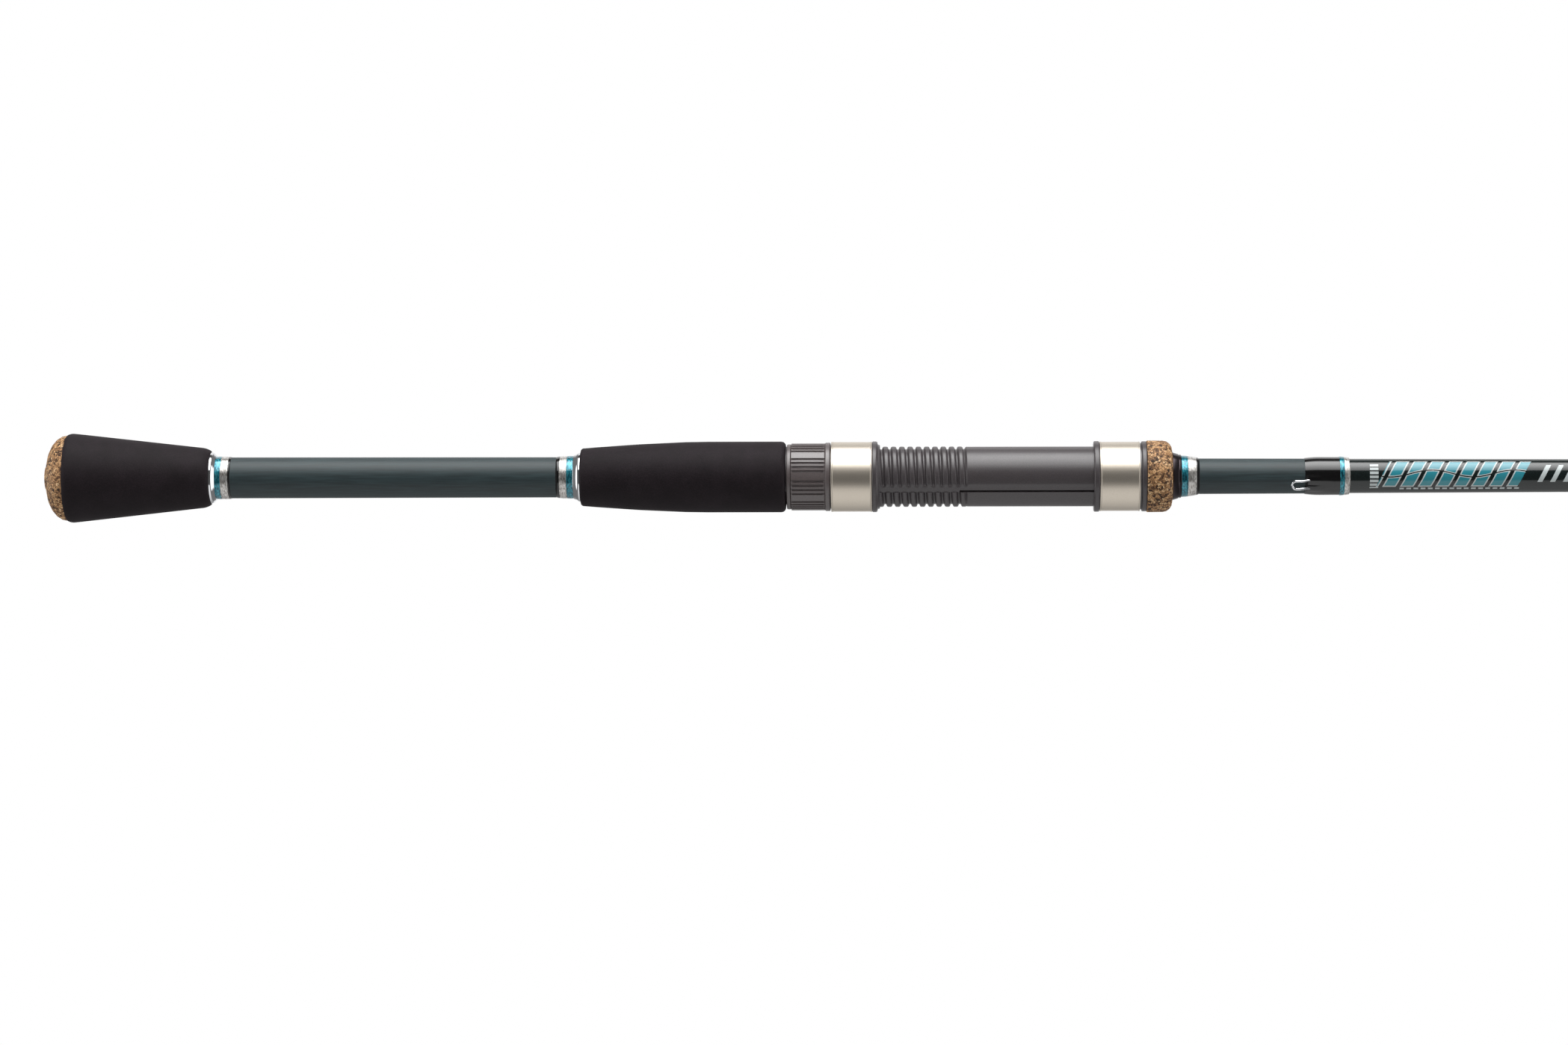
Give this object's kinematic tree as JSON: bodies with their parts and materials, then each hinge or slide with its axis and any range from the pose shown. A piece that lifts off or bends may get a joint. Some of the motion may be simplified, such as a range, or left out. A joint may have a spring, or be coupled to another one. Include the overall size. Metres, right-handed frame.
{
  "type": "spinning rod",
  "caption": "Fishing rod for a spinning reel: tapered blank, foam grips, reel seat with a screw-down sliding hood, hook keeper and ring guides to the tip.",
  "frame": {"origin": "centre of the flat nub on the butt cap's end face, on the rod's axis", "axes": "+X along the rod from the butt to the tip, +Z the side with the keyway and the hook keeper, the reel foot and the guides are on -Z"},
  "size_m": [2.1329, 0.0324, 0.0767],
  "materials": {
    "carbon_blank": "matte",
    "burl_cork": "satin",
    "eva_foam": "matte",
    "chrome": "polished",
    "thread_teal": "gloss",
    "thread_silver": "gloss",
    "thread_black": "gloss",
    "seat_nylon": "satin",
    "nut_nylon": "satin",
    "hood_metal": "satin",
    "gunmetal": "satin",
    "arbor_tape": "matte",
    "guide_steel": "polished",
    "guide_ceramic": "gloss"
  },
  "bodies": {
    "rod": {"blank": "carbon_blank", "butt_cap": "burl_cork", "cork_ring": "burl_cork", "rear_grip": "eva_foam", "fore_grip": "eva_foam", "rear_check_ring": "chrome", "fore_check_ring": "chrome", "hook_keeper": "chrome", "reel_seat_body": "seat_nylon", "seat_end_ring": "seat_nylon", "seat_arbor_rear": "arbor_tape", "seat_arbor_front": "arbor_tape", "fixed_hood_sleeve": "hood_metal", "front_winding_check": "gunmetal", "keeper_wrap": "thread_black", "guide_trims_teal": "thread_teal", "guide_trims_silver": "thread_silver", "tip_top_frame": "guide_steel", "tip_top_ring": "guide_ceramic", "tip_wrap": "thread_black", "rear_wrap_teal": "thread_teal", "rear_wrap_silver": "thread_silver", "rear_wrap_black": "thread_black", "mid_wrap_teal": "thread_teal", "mid_wrap_silver": "thread_silver", "mid_wrap_black": "thread_black", "front_wrap_teal": "thread_teal", "front_wrap_silver": "thread_silver", "front_wrap_black": "thread_black", "keeper_trim_teal": "thread_teal", "keeper_trim_silver": "thread_silver", "guide_1_frame": "guide_steel", "guide_1_ring": "guide_ceramic", "guide_1_wrap": "thread_black", "guide_2_frame": "guide_steel", "guide_2_ring": "guide_ceramic", "guide_2_wrap": "thread_black", "guide_3_frame": "guide_steel", "guide_3_ring": "guide_ceramic", "guide_3_wrap": "thread_black", "guide_4_frame": "guide_steel", "guide_4_ring": "guide_ceramic", "guide_4_wrap": "thread_black", "guide_5_frame": "guide_steel", "guide_5_ring": "guide_ceramic", "guide_5_wrap": "thread_black", "guide_6_frame": "guide_steel", "guide_6_ring": "guide_ceramic", "guide_6_wrap": "thread_black", "guide_7_frame": "guide_steel", "guide_7_ring": "guide_ceramic", "guide_7_wrap": "thread_black"},
    "sliding_hood": {"sliding_hood_sleeve": "hood_metal", "sliding_hood_liner": "seat_nylon"},
    "locking_nut": {"locking_nut": "nut_nylon"}
  },
  "joints": [
    {"name": "hood_slide", "type": "slide", "parent": "rod", "child": "sliding_hood", "axis": [1, 0, 0], "range_m": [0, 0.0451]},
    {"name": "nut_turn", "type": "hinge", "parent": "sliding_hood", "child": "locking_nut", "pos_m": [0.276, 0, 0], "axis": [1, 0, 0], "range_deg": [0, 5400]}
  ],
  "couplings": [
    {"joint": "hood_slide", "follows": "nut_turn", "m_per_rad": 0.00047746}
  ]
}
